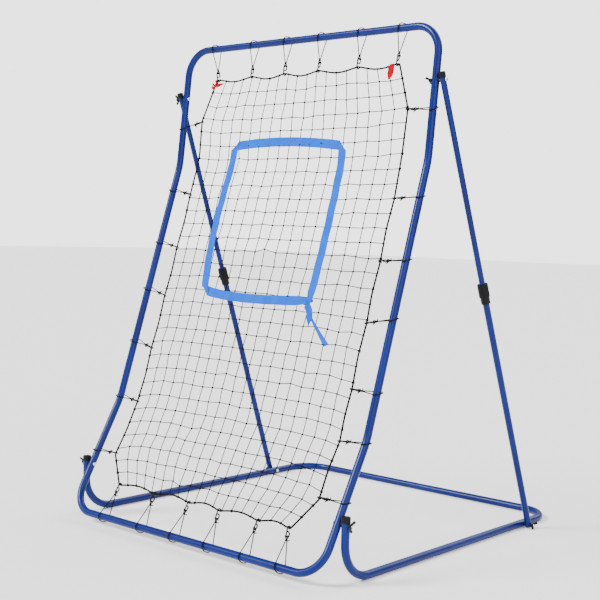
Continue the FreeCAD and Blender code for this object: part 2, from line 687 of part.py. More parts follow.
# ---------------------------------------------------------------- net, cords and hooks
# Where each hook holds the net: first the loop's place on the tube, then the hook's place on the
# border rope. Top and bottom stations are X; side stations run up the profile.
top_stations = [(-425, -400), (-232, -230), (-76, -75), (79, 76), (248, 245), (412, 411)]
bottom_stations = [(-393, -380), (-203, -200), (-48, -36), (107, 98), (262, 266), (410, 394)]
left_stations = [(218, 216), (427, 414), (633, 610), (828, 803), (1003, 984), (1204, 1184), (1434, 1458)]
right_stations = [(228, 221), (413, 404), (564, 565), (793, 771), (978, 968), (1180, 1172), (1457, 1461)]
net_top = profile_length - 111
net_bottom = 116
net_side = 460
top_sag = 17
bottom_rise = 15
side_sag = 5
eye_low = 17
eye_high = 22
eye_top = eye_high + cell("hook_bend")
knot_height = eye_top + 8


def on_net(x, along, forward=0.0):
    return profile(along, x, forward)


def rounded_wire(points, radii):
    """A closed wire of straight runs joined by tangent arcs of these radii, or smaller where a run
    is short."""
    arcs = []
    for index, corner in enumerate(points):
        back = points[index - 1] - corner
        ahead = points[(index + 1) % len(points)] - corner
        shorter = min(back.Length, ahead.Length)
        back.normalize()
        ahead.normalize()
        half = (math.pi - back.getAngle(ahead)) / 2
        radius = min(radii[index], 0.45 * shorter / math.tan(half))
        inward = (back + ahead).normalize()
        reach = radius * math.tan(half)
        arcs.append((corner + back * reach, corner + inward * (radius / math.cos(half) - radius),
                     corner + ahead * reach))
    edges = []
    for index, (start, middle, end) in enumerate(arcs):
        edges.append(Part.Arc(start, middle, end).toShape())
        edges.append(Part.makeLine(end, arcs[(index + 1) % len(arcs)][0]))
    return Part.Wire(edges)


def sweep(edges, radius):
    """A round rod along an open run of edges."""
    start = edges[0].valueAt(edges[0].FirstParameter)
    section = Part.Wire(Part.makeCircle(radius, start, edges[0].tangentAt(edges[0].FirstParameter)))
    return Part.Wire(edges).makePipeShell([section], True, True)


def tube_along(wire, radius):
    """A round cord along a closed wire, swept in two open halves that meet end to end."""
    edges = wire.OrderedEdges
    middle = len(edges) // 2
    solid = sweep(edges[:middle], radius).fuse(sweep(edges[middle:], radius))
    wanted = math.pi * radius * radius * wire.Length
    if not solid.isValid() or abs(solid.Volume - wanted) > 0.001 * wanted:
        raise RuntimeError("a cord's sweep has the wrong volume")
    return solid.Solids[0]


def shaped(label, shape):
    """A sub-part whose outline has no sketch of its own, such as a cord on its route."""
    feature = doc.addObject("Part::Feature", label)
    feature.Shape = shape
    feature.Placement = Placement()
    return keep(label, feature)


def between(values, place):
    """The net's border, hook by hook, with one slack point between each pair. The rope turns
    sharply at a hook and gently where it hangs slack."""
    places = []
    for index, value in enumerate(values):
        places.append(place(value, 0) + (14,))
        if index + 1 < len(values):
            places.append(place((value + values[index + 1]) / 2, 1) + (400,))
    return places


def border_places():
    """The border's turning points in order, as (X, along the profile, turning radius)."""
    top = between([net for tube, net in top_stations], lambda x, slack: (x, net_top - top_sag * slack))
    right = between([net for tube, net in right_stations], lambda s, slack: (net_side - side_sag * slack, s))
    bottom = between([net for tube, net in bottom_stations],
                     lambda x, slack: (x, net_bottom + bottom_rise * slack))
    left = between([net for tube, net in left_stations], lambda s, slack: (side_sag * slack - net_side, s))
    return top + right[::-1] + bottom[::-1] + left


border_outline = [(x, along) for x, along, radius in border_places()]
rope_route = rounded_wire([on_net(x, along) for x, along in border_outline],
                          [radius for x, along, radius in border_places()])


def skin(back, ahead, width):
    """A curved slab that follows the profile between two distances in front of it."""
    low = net_bottom - 20
    high = net_top + 20
    start_x = -width / 2

    def side_line(forward):
        marks = [low, straights[0], straights[0] + arc_lengths[0],
                 straights[0] + arc_lengths[0] + straights[1],
                 straights[0] + arc_lengths[0] + straights[1] + arc_lengths[1], high]
        edges = []
        for index in range(5):
            begin = profile(marks[index], start_x, forward)
            end = profile(marks[index + 1], start_x, forward)
            if index % 2:
                middle = profile((marks[index] + marks[index + 1]) / 2, start_x, forward)
                edges.append(Part.Arc(begin, middle, end).toShape())
            else:
                edges.append(Part.makeLine(begin, end))
        return edges, profile(low, start_x, forward), profile(high, start_x, forward)

    rear, rear_low, rear_high = side_line(back)
    face, face_low, face_high = side_line(ahead)
    outline = Part.Wire(rear + [Part.makeLine(rear_high, face_high)] + face[::-1]
                        + [Part.makeLine(face_low, rear_low)])
    return Part.Face(outline).extrude(Vector(width, 0, 0))


def prism(places):
    """A block through the whole depth of the frame whose outline, seen from the front, follows
    these (X, along the profile) places."""
    corners = [on_net(x, along) for x, along in places]
    flat = [Vector(point.x, -300, point.z) for point in corners]
    return Part.Face(Part.makePolygon(flat + flat[:1])).extrude(Vector(0, 1200, 0))


def inset(places, distance):
    """Moves each side of a closed outline inwards by the same distance."""
    moved = []
    for index, (x, along) in enumerate(places):
        here = Vector(x, along, 0)
        came = (here - Vector(*places[index - 1], 0)).normalize()
        goes = (Vector(*places[(index + 1) % len(places)], 0) - here).normalize()
        chord = (came + goes).normalize()
        reach = distance / chord.dot(came)
        moved.append((x + chord.y * reach, along - chord.x * reach))
    return moved


def net_panel():
    half = cell("net_thick") / 2
    outline = inset(border_outline, cell("rope_dia") / 2 + 10)
    return shaped("net_panel", skin(-half, half, cell("frame_width")).common(prism(outline)))


def on_rope(tube, place):
    """The place where the taut border rope sits in a hook: the part of its bend nearest the tube."""
    bends = rope_route.Edges[0::2]
    bend = min(bends, key=lambda edge: edge.CenterOfMass.distanceToPoint(place))
    return max(bend.discretize(41), key=lambda point: (point - place).dot(tube - place))


def station_frame(tube, net):
    """A hook's own axes: from the net towards the tube, across that, and forward."""
    toward = (tube - net).normalize()
    across = toward.cross(front(lean_at(max(1.0, net_along(net))))).normalize()
    return toward, across, across.cross(toward).normalize()


def net_along(point):
    """How far up the profile a point on the net is."""
    low, high = 0.0, profile_length
    for step in range(40):
        middle = (low + high) / 2
        if profile(middle).z < point.z:
            low = middle
        else:
            high = middle
    return low


def hook(tube, net, turn):
    """A closed-eye hook of round wire: the open bend holds the border rope and the eye takes the
    elastic loop. Its plane is turned a little about its own length."""
    toward, across, forward = station_frame(tube, net)
    spun = Rotation(toward, turn)
    out = spun.multVec(forward)
    bend = cell("hook_bend")

    def at(height, side):
        return net + toward * height + out * side

    def eye_end(turned):
        """A place on the eye's closing bend, which stops just short of the shank."""
        angle = math.radians(turned)
        return at(eye_low - bend * math.sin(angle), -bend * math.cos(angle))

    return sweep([
        Part.makeLine(at(2, -bend), at(0, -bend)),
        Part.Arc(at(0, -bend), at(-bend, 0), at(0, bend)).toShape(),
        Part.makeLine(at(0, bend), at(eye_high, bend)),
        Part.Arc(at(eye_high, bend), at(eye_high + bend, 0), at(eye_high, -bend)).toShape(),
        Part.makeLine(at(eye_high, -bend), at(eye_low, -bend)),
        Part.Arc(eye_end(0), eye_end(60), eye_end(118)).toShape(),
    ], cell("hook_wire") / 2)


def elastic_loop(tube, tube_way, net):
    """A cord loop round the tube and through a hook's eye, drawn together by a knot."""
    toward, across, forward = station_frame(tube, net)
    knot = net + toward * knot_height
    inward = tube_way.cross(forward).normalize()
    if inward.dot(knot - tube) < 0:
        inward = -inward
    distance = (knot - tube).dot(inward)
    clear = tube_radius + cell("cord_dia") / 2 + 1.6
    lean = math.asin(clear / distance)
    rise = (distance + clear) * math.tan(lean)
    spread = 10
    pinch = cell("cord_dia") / 2 + 0.1
    corners = [knot - toward * (pinch / math.sin(lean) - pinch), tube - inward * clear + forward * rise - tube_way * spread,
               tube - inward * clear - forward * rise + tube_way * spread]
    loop = tube_along(rounded_wire(corners, [pinch, clear * 1.05, clear * 1.05]), cell("cord_dia") / 2)
    ring_at = net + toward * (eye_top + 0.5)
    ring = Part.makeTorus(4.7, cell("cord_dia") / 2, ring_at, forward)
    ring.rotate(ring_at, forward, 40)
    bead = Part.makeSphere(3.7, knot)
    joined = loop.fuse(bead).fuse(ring)
    if len(joined.Solids) != 1 or joined.Volume < loop.Volume + 0.7 * ring.Volume:
        raise RuntimeError("an elastic loop is not in one piece")
    return joined.Solids[0]


def hooks_and_loops():
    edges = {
        "top": [(on_net(tube, profile_length), x_way, on_net(net, net_top)) for tube, net in top_stations],
        "bottom": [(on_net(tube, 0), x_way, on_net(net, net_bottom)) for tube, net in bottom_stations],
        "left": [(on_net(-side_x, tube), unit(lean_at(tube)), on_net(-net_side, net))
                 for tube, net in left_stations],
        "right": [(on_net(side_x, tube), unit(lean_at(tube)), on_net(net_side, net))
                  for tube, net in right_stations],
    }
    for name, places in edges.items():
        places = [(tube, way, on_rope(tube, net)) for tube, way, net in places]
        hooks = [hook(tube, net, 10 if index % 2 else -8)
                 for index, (tube, way, net) in enumerate(places)]
        loops = [elastic_loop(tube, way, net) for tube, way, net in places]
        shaped("hooks_" + name, Part.makeCompound(hooks))
        shaped("elastic_loops_" + name, Part.makeCompound(loops))


shaped("border_rope", tube_along(rope_route, cell("rope_dia") / 2))
net_panel()
hooks_and_loops()


# ---------------------------------------------------------------- ribbons
zone = [(-275, 1361), (-30, 1370), (214, 1350), (222, 1080), (216, 826), (64, 812), (-80, 822), (-262, 836),
        (-286, 1040)]
ribbon_back = cell("net_thick") / 2 + 0.5
ribbon_front = ribbon_back + cell("ribbon_thick")


def strike_zone():
    half = cell("ribbon_width") / 2
    ring = prism(inset(zone, -half)).cut(prism(inset(zone, half)))
    return shaped("strike_zone_ribbon", skin(ribbon_back, ribbon_front, 800).common(ring))


def strip(places, back, ahead):
    return skin(back, ahead, 1000).common(prism(places))


def ribbon_tie():
    """The ribbon's knot at the lower right corner and its two tails."""
    lift = ribbon_front + 0.4
    knot = strip([(196, 840), (234, 838), (238, 806), (198, 804)], lift, lift + 5)
    leaf = strip([(206, 812), (224, 814), (250, 770), (246, 742), (226, 762)], lift, lift + 1.6)
    tail = strip([(222, 806), (234, 808), (330, 694), (316, 684)], lift + 2.2, lift + 3.4)
    return shaped("ribbon_tie", knot.multiFuse([leaf, tail]))


strike_zone()
ribbon_tie()
marker_back = cell("rope_dia") / 2 + 0.5
shaped("left_corner_marker", strip([(-426, net_top - 20), (-362, net_top - 13), (-366, net_top - 29),
                                    (-426, net_top - 36)], marker_back, marker_back + 1.4))
shaped("right_corner_marker", strip([(344, net_top + 2), (392, net_top + 6), (384, net_top - 44),
                                     (352, net_top - 50)], marker_back, marker_back + 1.4))

# ---------------------------------------------------------------- checks and files
doc.recompute()
for item in doc.Objects:
    if {"Invalid", "Error"} & set(item.State):
        raise RuntimeError(item.Name + " failed: " + ", ".join(item.State))
for node in nodes:
    if node.Shape.isNull() or not node.Shape.isValid():
        raise RuntimeError(node.Label + " has no valid shape")

os.makedirs("parts", exist_ok=True)
for node in nodes:
    node.Shape.exportStep("parts/%s.step" % node.Label)
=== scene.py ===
import json
import math

import bpy
import numpy as np
from mathutils import Matrix, Vector


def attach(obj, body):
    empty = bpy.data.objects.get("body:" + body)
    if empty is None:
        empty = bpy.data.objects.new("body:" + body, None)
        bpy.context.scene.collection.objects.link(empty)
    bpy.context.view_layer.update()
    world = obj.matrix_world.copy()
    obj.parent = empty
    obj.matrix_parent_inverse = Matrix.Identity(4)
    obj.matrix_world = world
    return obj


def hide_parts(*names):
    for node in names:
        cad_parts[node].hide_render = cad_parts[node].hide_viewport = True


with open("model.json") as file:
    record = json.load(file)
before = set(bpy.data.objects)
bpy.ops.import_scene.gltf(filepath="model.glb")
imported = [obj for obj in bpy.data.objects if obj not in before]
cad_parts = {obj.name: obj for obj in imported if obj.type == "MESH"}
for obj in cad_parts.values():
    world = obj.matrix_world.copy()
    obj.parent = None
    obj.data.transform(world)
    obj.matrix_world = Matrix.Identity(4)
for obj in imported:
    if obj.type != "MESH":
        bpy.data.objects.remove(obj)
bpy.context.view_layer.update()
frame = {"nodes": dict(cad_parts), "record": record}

seeded = np.random.default_rng(11)


# the frame's side profile, which the net and its cords follow
profileShape = {
    "barHeight": 0.0325,
    "runs": (0.420, 0.879, 0.420),
    "leans": (28.6, 17.3, 5.9),
    "bendRadius": 0.220,
    "halfWidth": 0.555,
    "step": 0.0005,
}


def tabulateProfile(shape):
    # dense columns of distance, Y, Z and lean along the profile, from the bottom bar's axis.
    leans = np.radians(shape["leans"])
    turns = leans[:-1] - leans[1:]
    tangents = shape["bendRadius"] * np.tan(turns / 2)
    straights = np.array(shape["runs"])
    straights[:-1] -= tangents
    straights[1:] -= tangents
    spans = [straights[0], turns[0] * shape["bendRadius"], straights[1],
             turns[1] * shape["bendRadius"], straights[2]]
    marks = np.concatenate([[0], np.cumsum(spans)])
    along = np.arange(0, marks[-1] + 0.05, shape["step"])
    lean = np.interp(along, marks, [leans[0], leans[0], leans[1], leans[1], leans[2], leans[2]])
    y = np.concatenate([[0], np.cumsum(np.sin(lean[:-1])) * shape["step"]])
    z = shape["barHeight"] + np.concatenate([[0], np.cumsum(np.cos(lean[:-1])) * shape["step"]])
    return along, y, z, lean, marks[-1]


profileAlong, profileY, profileZ, profileLean, profileLength = tabulateProfile(profileShape)


def forwardAt(along):
    # the direction square to the net that faces the thrower.
    lean = np.interp(along, profileAlong, profileLean)
    return np.stack([np.zeros_like(lean), -np.cos(lean), np.sin(lean)], -1)


def onNet(x, along, lift=0.0):
    # places on the net's surface from X and the distance up the profile, lifted towards the thrower.
    x, along, lift = np.broadcast_arrays(*[np.asarray(v, float) for v in (x, along, lift)])
    y, z = np.interp(along, profileAlong, profileY), np.interp(along, profileAlong, profileZ)
    flat = np.stack([x, y, z], -1)
    return flat + forwardAt(along) * lift[..., None]


def unitRows(rows):
    return rows / np.linalg.norm(rows, axis=-1, keepdims=True)


# meshes
def gridFaces(rows, columns, closeRows=False, closeColumns=False):
    # quads over a grid of vertices numbered row by row.
    down = np.arange(rows if closeRows else rows - 1)
    across = np.arange(columns if closeColumns else columns - 1)
    low, left = np.meshgrid(down, across, indexing="ij")
    high, right = (low + 1) % rows, (left + 1) % columns
    quads = [low * columns + left, low * columns + right, high * columns + right, high * columns + left]
    return np.stack(quads, -1).reshape(-1, 4)


def tube(path, up, radius, sides=8, closed=False):
    # a round cord along a path. The radius is one number or a grid of path points by sides.
    path = np.asarray(path, float)
    if closed:
        way = np.roll(path, -1, 0) - np.roll(path, 1, 0)
    else:
        way = np.gradient(path, axis=0)
    way = unitRows(way)
    side = unitRows(np.cross(way, np.broadcast_to(up, path.shape)))
    lift = np.cross(side, way)
    turn = np.linspace(0, 2 * np.pi, sides, endpoint=False)
    ring = side[:, None] * np.cos(turn)[None, :, None] + lift[:, None] * np.sin(turn)[None, :, None]
    radius = np.broadcast_to(np.asarray(radius, float), (len(path), sides))
    points = path[:, None] + ring * radius[..., None]
    faces = gridFaces(len(path), sides, closed, True)
    steps = np.linalg.norm(np.diff(path, axis=0, append=path[:1]), axis=1)
    length = np.concatenate([[0], np.cumsum(steps)])
    corner = faces // sides
    spin = faces % sides
    u = np.where((spin == 0) & (spin.max(1, keepdims=True) == sides - 1), sides, spin) / sides
    last = corner.max(1, keepdims=True) == len(path) - 1
    v = np.where((corner == 0) & last & closed, len(path), corner)
    uv = np.stack([u, length[v]], -1)
    if closed:
        return points.reshape(-1, 3), faces, uv
    flat = points.reshape(-1, 3)
    caps = []
    for row, order in ((0, -1), (len(path) - 1, 1)):
        rim = row * sides + np.arange(sides)[::order]
        middle = len(flat)
        flat = np.vstack([flat, path[row]])
        hub = np.full(sides, middle)
        caps.append(np.stack([rim, np.roll(rim, -1), hub, hub], -1))
    caps = np.vstack(caps)
    return flat, np.vstack([faces, caps]), np.concatenate([uv, np.zeros((len(caps), 4, 2))])


def blobs(centres, axes, size, rings=4, sides=8):
    # rounded knots. Each has its own three axes, and size is its half-widths along them.
    centres = np.asarray(centres, float).reshape(-1, 3)
    polar = np.linspace(0, np.pi, rings + 1)[1:-1]
    turn = np.linspace(0, 2 * np.pi, sides, endpoint=False)
    ball = np.stack([np.outer(np.sin(polar), np.cos(turn)), np.outer(np.sin(polar), np.sin(turn)),
                     np.outer(np.cos(polar), np.ones(sides))], -1).reshape(-1, 3)
    ball = np.vstack([ball, [[0, 0, 1], [0, 0, -1]]])
    size = np.broadcast_to(np.asarray(size, float), centres.shape)
    axes = np.broadcast_to(axes, (len(centres), 3, 3))
    points = centres[:, None] + np.einsum("bk,nk,nkj->nbj", ball, size, axes)
    top, bottom = len(ball) - 2, len(ball) - 1
    first = np.arange(sides)
    last = first + (rings - 2) * sides
    fans = [np.stack([np.roll(first, -1), first, np.full(sides, top), np.full(sides, top)], -1),
            np.stack([last, np.roll(last, -1), np.full(sides, bottom), np.full(sides, bottom)], -1)]
    one = np.vstack([gridFaces(rings - 1, sides, False, True)] + fans)
    faces = (one[None] + (np.arange(len(centres)) * len(ball))[:, None, None]).reshape(-1, 4)
    return points.reshape(-1, 3), faces, np.zeros((len(faces), 4, 2))


def makeMesh(name, parts, material, smooth=True):
    # one object from (vertices, quads, corner UVs) parts.
    # A quad that repeats its last corner is a triangle.
    vertices = np.vstack([part[0] for part in parts])
    offsets = np.concatenate([[0], np.cumsum([len(part[0]) for part in parts])[:-1]])
    quads = np.vstack([part[1] + offset for part, offset in zip(parts, offsets)])
    uv = np.vstack([part[2] for part in parts])
    used = np.ones(quads.shape, bool)
    used[:, 3] = quads[:, 3] != quads[:, 2]
    sizes = used.sum(1)
    mesh = bpy.data.meshes.new(name)
    mesh.vertices.add(len(vertices))
    mesh.vertices.foreach_set("co", vertices.astype(np.float32).ravel())
    mesh.loops.add(int(sizes.sum()))
    mesh.loops.foreach_set("vertex_index", quads[used].astype(np.int32))
    mesh.polygons.add(len(quads))
    starts = np.concatenate([[0], np.cumsum(sizes)[:-1]])
    mesh.polygons.foreach_set("loop_start", starts.astype(np.int32))
    mesh.uv_layers.new(name="UVMap").data.foreach_set("uv", uv[used].astype(np.float32).ravel())
    mesh.polygons.foreach_set("use_smooth", np.full(len(quads), smooth))
    mesh.update(calc_edges=True)
    mesh.validate()
    piece = bpy.data.objects.new(name, mesh)
    bpy.context.scene.collection.objects.link(piece)
    mesh.materials.append(material)
    return piece


def seatOnFrame(piece, slotName, *nodes):
    # the piece moves with the frame and stands for these CAD nodes.
    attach(piece, "frame")
    if nodes:
        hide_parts(*nodes)
    return piece


# materials
class Wire:
    # a socket's value, which adds Math nodes when it is used in a sum
    def __init__(self, finish, socket):
        self.finish, self.socket = finish, socket

    def math(self, operation, *others):
        inputs = {place: value for place, value in enumerate((self, *others))}
        return self.finish.node("Math", {"operation": operation}, inputs)

    def __add__(self, other):
        return self.math("ADD", other)

    def __sub__(self, other):
        return self.math("SUBTRACT", other)

    def __mul__(self, other):
        return self.math("MULTIPLY", other)

    def __truediv__(self, other):
        return self.math("DIVIDE", other)

    def __rsub__(self, other):
        return self.finish.node("Math", {"operation": "SUBTRACT"}, {0: other, 1: self})

    def __rtruediv__(self, other):
        return self.finish.node("Math", {"operation": "DIVIDE"}, {0: other, 1: self})

    __radd__ = __add__
    __rmul__ = __mul__

    def within(self, low, high):
        # 0 below low, 1 above high, and a smooth step between
        span = {"Value": self, "From Min": low, "From Max": high}
        return self.finish.node("MapRange", {"interpolation_type": "SMOOTHSTEP"}, span)


class Finish:
    # a material whose one Principled shader is fed by expressions on wires
    def __init__(self, name, constants):
        self.material = bpy.data.materials.new(name)
        self.material.use_nodes = True
        self.tree = self.material.node_tree
        self.shader = self.tree.nodes["Principled BSDF"]
        self.feed(constants)

    def node(self, kind, settings, inputs, output=0):
        made = self.tree.nodes.new("ShaderNode" + kind)
        for key, value in settings.items():
            setattr(made, key, value)
        for key, value in inputs.items():
            self.plug(made.inputs[key], value)
        return Wire(self, made.outputs[output])

    def plug(self, socket, value):
        if isinstance(value, Wire):
            self.tree.links.new(value.socket, socket)
        elif socket.type == "RGBA":
            socket.default_value = (*value, 1)
        else:
            socket.default_value = value

    def feed(self, inputs):
        for key, value in inputs.items():
            self.plug(self.shader.inputs[key], value)

    def place(self, kind="Object"):
        return self.node("TexCoord", {}, {}, kind)

    def noise(self, where, scale, detail=3.0):
        return self.node("TexNoise", {}, {"Vector": where, "Scale": scale, "Detail": detail})

    def stretched(self, where, scale):
        return self.node("Mapping", {}, {"Vector": where, "Scale": scale})

    def split(self, where, axis):
        return self.node("SeparateXYZ", {}, {"Vector": where}, axis)

    def mix(self, factor, low, high):
        return self.node("Mix", {"data_type": "RGBA"}, {0: factor, 6: low, 7: high}, 2)

    def bump(self, height, distance, strength):
        shape = {"Height": height, "Distance": distance, "Strength": strength}
        self.feed({"Normal": self.node("Bump", {}, shape)})


# gloss powder coat: orange peel, slow clouds of tone, a little dust and fine rubbed marks
def powderCoat(name, settings):
    made = Finish(name, {"Coat Weight": settings["coat"], "Coat Roughness": 0.1,
                         "Specular IOR Level": 0.18})
    where = made.place()
    peel = made.noise(where, settings["peelScale"], 2.0)
    cloud = made.noise(where, 6.0, 4.0).within(0.3, 0.7)
    scratches = made.noise(made.stretched(where, (900.0, 60.0, 60.0)), 1.0, 2.0).within(0.66, 0.78)
    rubbed = scratches * made.noise(where, 14.0, 2.0).within(0.52, 0.7)
    dust = made.noise(where, 70.0, 6.0).within(0.55, 0.85)
    tone = made.mix(cloud, settings["deep"], settings["bright"])
    worn = made.mix(rubbed * 0.3, tone, settings["rubbed"])
    made.feed({"Base Color": made.mix(dust * settings["dust"], worn, (0.5, 0.53, 0.6)),
               "Roughness": settings["roughness"] + dust * 0.06 + rubbed * 0.2})
    made.bump(peel, 0.00012, 0.5)
    return made.material


# moulded plastic: a fine spark-eroded grain and slow clouds of gloss
def mouldedPlastic(name, settings):
    made = Finish(name, {"Specular IOR Level": settings["gloss"]})
    where = made.place()
    grain = made.noise(where, settings["grainScale"])
    cloud = made.noise(where, 30.0).within(0.3, 0.75)
    made.feed({"Base Color": made.mix(cloud, settings["dark"], settings["light"]),
               "Roughness": settings["roughness"] + cloud * 0.12})
    made.bump(grain, 0.0002, 0.6)
    return made.material


# zinc plate: drawn lines along the bolt and dull stains
def zincPlate(name, settings):
    made = Finish(name, {"Metallic": 1.0})
    where = made.place()
    drawn = made.noise(made.stretched(where, (60.0, 900.0, 900.0)), 1.0)
    stain = made.noise(where, 90.0, 4.0).within(0.45, 0.8)
    made.feed({"Base Color": made.mix(stain, settings["bright"], settings["dull"]),
               "Roughness": 0.22 + stain * 0.2 + drawn * 0.08})
    made.bump(drawn, 0.00005, 0.5)
    return made.material


# cord yarns: a sine that winds round the cord, crossed by its mirror where the cord is braided; its
# colour is painted shade in the grooves and painted light on the crests.
# U is the turn round the cord and V the metres along it.
def twistedCord(name, settings):
    made = Finish(name, {"Specular IOR Level": 0.08})
    where = made.place("UV")
    around = made.split(where, 0) * (settings["yarns"] * 2 * math.pi)
    along = made.split(where, 1) * (settings["yarns"] * 2 * math.pi / settings["pitch"])
    crossed = (around - along).math("SINE") * (settings["braid"] * 0.5)
    yarn = (around + along).math("SINE") * (0.5 + crossed)
    fuzz = made.noise(made.place(), 2500.0)
    # painted shade: the yarn term makes the colour darker in the grooves between the yarns and lighter
    # on their crests, following the bump; the fuzz adds random fibre tone
    paintedGrooveShadeAndFuzz = (yarn * 0.35 + 0.5) * 0.8 + fuzz * 0.3
    made.feed({"Base Color": made.mix(paintedGrooveShadeAndFuzz.within(0.25, 0.95), settings["dark"], settings["light"]),
               "Roughness": settings["roughness"] + fuzz * 0.1})
    made.bump(yarn + fuzz * 0.4, settings["relief"], 0.8)
    return made.material


# flat woven ribbon: warp sine times weft sine, with a painted highlight where the threads rise, and a
# firmer line near each edge.
# U is the metres across it from its middle and V the metres along it.
def wovenRibbon(name, settings):
    made = Finish(name, {"Specular IOR Level": 0.05})
    where = made.place("UV")
    across = (made.split(where, 0) * (2 * math.pi / settings["warp"])).math("SINE")
    along = (made.split(where, 1) * (2 * math.pi / settings["weft"])).math("SINE")
    weave = across * along
    cloud = made.noise(made.place(), 25.0, 4.0).within(0.3, 0.7)
    half = settings["half"]
    edge = made.split(where, 0).math("ABSOLUTE").within(half - 0.0024, half - 0.0014)
    tone = made.mix(cloud, settings["deep"], settings["bright"])
    # painted highlight: the colour turns toward the light tone where the weave rises in the bump
    toneWithPaintedWeaveHighlight = made.mix((weave * 0.5 + 0.5) * 0.2, tone, settings["light"])
    made.feed({"Base Color": made.mix(edge * 0.35, toneWithPaintedWeaveHighlight, settings["deep"]),
               "Roughness": settings["roughness"] + cloud * 0.1})
    made.bump(weave + edge * 1.5, 0.00015, 0.7)
    return made.material


bluePaint = powderCoat("blue_powder_coat", {
    "coat": 0.06, "roughness": 0.3, "peelScale": 420.0, "dust": 0.01, "deep": (0.0004, 0.006, 0.09),
    "bright": (0.0007, 0.010, 0.13), "rubbed": (0.02, 0.05, 0.2)})
blackPlastic = mouldedPlastic("black_plastic", {
    "grainScale": 1500.0, "roughness": 0.45, "gloss": 0.15,
    "dark": (0.002, 0.002, 0.003), "light": (0.006, 0.006, 0.007)})
hookCoating = mouldedPlastic("hook_coating", {
    "grainScale": 900.0, "roughness": 0.35, "gloss": 0.1,
    "dark": (0.002, 0.002, 0.003), "light": (0.005, 0.005, 0.006)})
plated = zincPlate("zinc_plate", {"bright": (0.78, 0.79, 0.82), "dull": (0.52, 0.53, 0.56)})
# for the cords, the dark tone is the painted shade in the yarn grooves and the light tone the painted
# light on the yarn crests
twine = twistedCord("net_twine", {
    "pitch": 0.006, "yarns": 3.0, "braid": 0.0, "roughness": 0.75, "relief": 0.0002,
    "dark": (0.001, 0.001, 0.002), "light": (0.008, 0.008, 0.010)})
ropeYarn = twistedCord("border_rope", {
    "pitch": 0.014, "yarns": 6.0, "braid": 0.8, "roughness": 0.7, "relief": 0.0004,
    "dark": (0.001, 0.001, 0.002), "light": (0.009, 0.009, 0.011)})
elasticYarn = twistedCord("elastic_cord", {
    "pitch": 0.007, "yarns": 8.0, "braid": 1.0, "roughness": 0.65, "relief": 0.0002,
    "dark": (0.001, 0.001, 0.002), "light": (0.01, 0.01, 0.012)})
# the light tone of each ribbon is the painted highlight on its raised threads
blueRibbon = wovenRibbon("blue_ribbon", {
    "warp": 0.0009, "weft": 0.0014, "half": 0.016, "roughness": 0.55, "deep": (0.0, 0.075, 0.52),
    "bright": (0.0, 0.095, 0.62), "light": (0.0, 0.13, 0.7)})
redRibbon = wovenRibbon("red_ribbon", {
    "warp": 0.0009, "weft": 0.0014, "half": 0.008, "roughness": 0.55, "deep": (0.24, 0.0, 0.004),
    "bright": (0.34, 0.0, 0.006), "light": (0.42, 0.01, 0.02)})

nodeFinishes = {
    "blue_steel": bluePaint, "black_plastic": blackPlastic, "zinc_steel": plated,
    "hook_wire": hookCoating, "net_twine": twine, "rope": ropeYarn,
    "elastic_cord": elasticYarn, "blue_ribbon": blueRibbon, "red_ribbon": redRibbon,
}
for part in frame["record"]["subparts"]:
    shown = frame["nodes"][part["node"]]
    shown.material_slots[0].material = nodeFinishes[part["material_slot"]]
print("materials made")


# the border rope's route, hook by hook
border = {
    "top": profileLength - 0.111,
    "bottom": 0.116,
    "side": 0.460,
    "topHooks": (-0.400, -0.230, -0.075, 0.076, 0.245, 0.411),
    "bottomHooks": (-0.380, -0.200, -0.036, 0.098, 0.266, 0.394),
    "leftHooks": (0.216, 0.414, 0.610, 0.803, 0.984, 1.184, 1.458),
    "rightHooks": (0.221, 0.404, 0.565, 0.771, 0.968, 1.172, 1.461),
    "topSag": 0.017, "bottomRise": 0.015, "sideSag": 0.005,
    "hookBend": 0.014, "slackBend": 0.400,
    "ropeRadius": 0.003, "strands": 3, "lay": 0.021, "sides": 12, "step": 0.0026,
}


def withSlack(hooks, level, sag, sideways):
    # turning points of one side of the border: its hooks and the slack places between them.
    hooks = np.array(hooks)
    middles = (hooks[1:] + hooks[:-1]) / 2
    run = np.empty(len(hooks) * 2 - 1)
    run[0::2], run[1::2] = hooks, middles
    across = np.full(len(run), level)
    across[1::2] += sag
    bend = np.where(np.arange(len(run)) % 2, border["slackBend"], border["hookBend"])
    pair = (across, run) if sideways else (run, across)
    return np.stack([*pair, bend], -1)


sides = {
    "top": withSlack(border["topHooks"], border["top"], -border["topSag"], False),
    "right": withSlack(border["rightHooks"], border["side"], -border["sideSag"], True)[::-1],
    "bottom": withSlack(border["bottomHooks"], border["bottom"], border["bottomRise"], False)[::-1],
    "left": withSlack(border["leftHooks"], -border["side"], border["sideSag"], True),
}
turningPoints = np.vstack([sides["top"], sides["right"], sides["bottom"], sides["left"]])


def roundedRoute(corners, radii, arcSteps=12):
    # points of a closed route with tangent arcs at its corners, and each arc's own points.
    corners = np.asarray(corners, float)
    back = np.roll(corners, 1, 0) - corners
    ahead = np.roll(corners, -1, 0) - corners
    shorter = np.minimum(np.linalg.norm(back, axis=1), np.linalg.norm(ahead, axis=1))
    back, ahead = unitRows(back), unitRows(ahead)
    half = (np.pi - np.arccos(np.clip((back * ahead).sum(1), -1, 1))) / 2
    radius = np.minimum(radii, 0.45 * shorter / np.tan(half))
    inward = unitRows(back + ahead)
    centre = corners + inward * (radius / np.cos(half))[:, None]
    square = unitRows(ahead - back)
    swing = np.linspace(-1, 1, arcSteps)[None, :, None] * half[:, None, None]
    spread = -inward[:, None] * np.cos(swing) + square[:, None] * np.sin(swing)
    return centre[:, None] + spread * radius[:, None, None]


